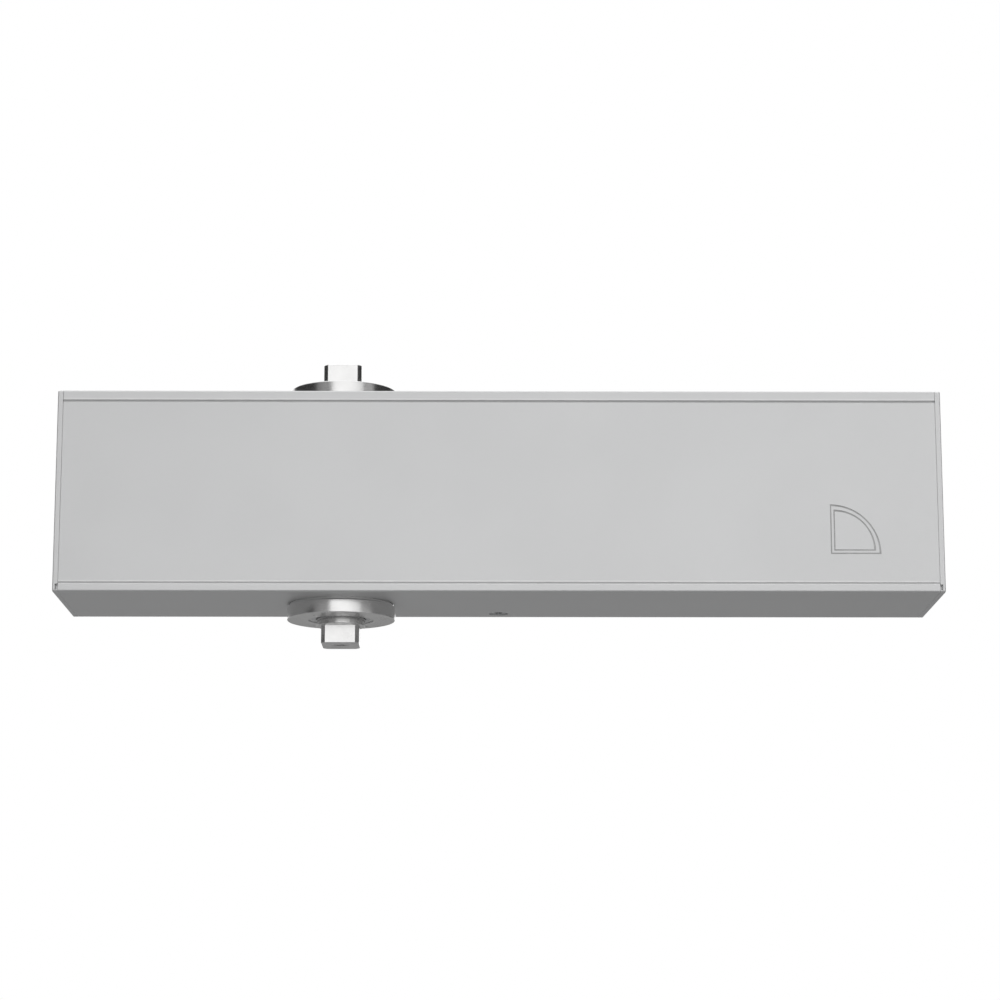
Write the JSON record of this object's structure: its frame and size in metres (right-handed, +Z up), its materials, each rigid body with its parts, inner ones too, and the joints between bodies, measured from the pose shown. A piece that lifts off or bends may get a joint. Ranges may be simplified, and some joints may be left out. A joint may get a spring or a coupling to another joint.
{
  "type": "door closer",
  "caption": "Surface-mounted hydraulic door closer: rack-and-pinion mechanism under a rectangular full-length cover, with a square spindle end above and below.",
  "frame": {"origin": "on the mounting face, straight behind the spindle axis at mid height", "axes": "+X along the closer from the spindle towards the spring end, +Y out of the mounting face into the door, +Z up along the spindle"},
  "size_m": [0.254, 0.0445, 0.0832],
  "materials": {
    "anodised_silver": "silver anodised, fine satin",
    "cast_aluminium": "die-cast, lightly blasted",
    "satin_steel": "turned, satin nickel plated",
    "ground_steel": "ground and polished",
    "spring_steel": "dark oil-tempered wire",
    "zinc_plated": "bright zinc plated",
    "brass": "turned",
    "black_rubber": "matt nitrile"
  },
  "bodies": {
    "housing": {"closer_body": "cast_aluminium", "front_cover": "anodised_silver", "left_end_cap": "anodised_silver", "right_end_cap": "anodised_silver", "cover_screw": "zinc_plated", "top_cap_nut": "satin_steel", "bottom_cap_nut": "satin_steel", "top_nut_o_ring": "black_rubber", "bottom_nut_o_ring": "black_rubber", "top_shaft_seal": "black_rubber", "bottom_shaft_seal": "black_rubber", "top_bearing_race": "ground_steel", "bottom_bearing_race": "ground_steel", "left_end_plug": "zinc_plated", "right_end_plug": "zinc_plated", "left_plug_o_ring": "black_rubber", "right_plug_o_ring": "black_rubber", "main_spring": "spring_steel"},
    "pinion": {"pinion_shaft": "satin_steel"},
    "piston_set": {"piston": "ground_steel", "piston_ring": "black_rubber", "ball_retainer": "zinc_plated", "spring_seat": "zinc_plated"},
    "ball": {"check_ball": "ground_steel"},
    "upper_rollers": {"top_roller_cage": "ground_steel"},
    "lower_rollers": {"bottom_roller_cage": "ground_steel"},
    "closing_valve": {"closing_speed_valve": "brass", "closing_valve_o_ring": "black_rubber"},
    "latching_valve": {"latching_speed_valve": "brass", "latching_valve_o_ring": "black_rubber"}
  },
  "joints": [
    {"name": "pinion_spin", "type": "hinge", "parent": "housing", "child": "pinion", "pos_m": [0, -0.022, 0], "axis": [0, 0, 1], "range_deg": [0, 180]},
    {"name": "piston_slide", "type": "slide", "parent": "housing", "child": "piston_set", "axis": [1, 0, 0], "range_m": [0, 0.03141], "stiffness_N_per_m": 1500, "springref_m": -0.004, "deforming": ["main_spring"]},
    {"name": "ball_lift", "type": "slide", "parent": "piston_set", "child": "ball", "axis": [-1, 0, 0], "range_m": [0, 0.0012]},
    {"name": "upper_rollers_spin", "type": "hinge", "parent": "housing", "child": "upper_rollers", "pos_m": [0, -0.022, 0], "axis": [0, 0, 1], "range_deg": [0, 76]},
    {"name": "lower_rollers_spin", "type": "hinge", "parent": "housing", "child": "lower_rollers", "pos_m": [0, -0.022, 0], "axis": [0, 0, 1], "range_deg": [0, 76]},
    {"name": "closing_valve_turn", "type": "hinge", "parent": "housing", "child": "closing_valve", "pos_m": [-0.07202, -0.0052, 0.01397], "axis": [1, 0, 0], "range_deg": [-360, 360]},
    {"name": "latching_valve_turn", "type": "hinge", "parent": "housing", "child": "latching_valve", "pos_m": [-0.07202, -0.0052, -0.01397], "axis": [1, 0, 0], "range_deg": [-360, 360]}
  ],
  "couplings": [
    {"joint": "pinion_spin", "follows": "piston_slide", "rad_per_m": 100},
    {"joint": "upper_rollers_spin", "follows": "piston_slide", "rad_per_m": 41.42},
    {"joint": "lower_rollers_spin", "follows": "piston_slide", "rad_per_m": 41.42}
  ]
}
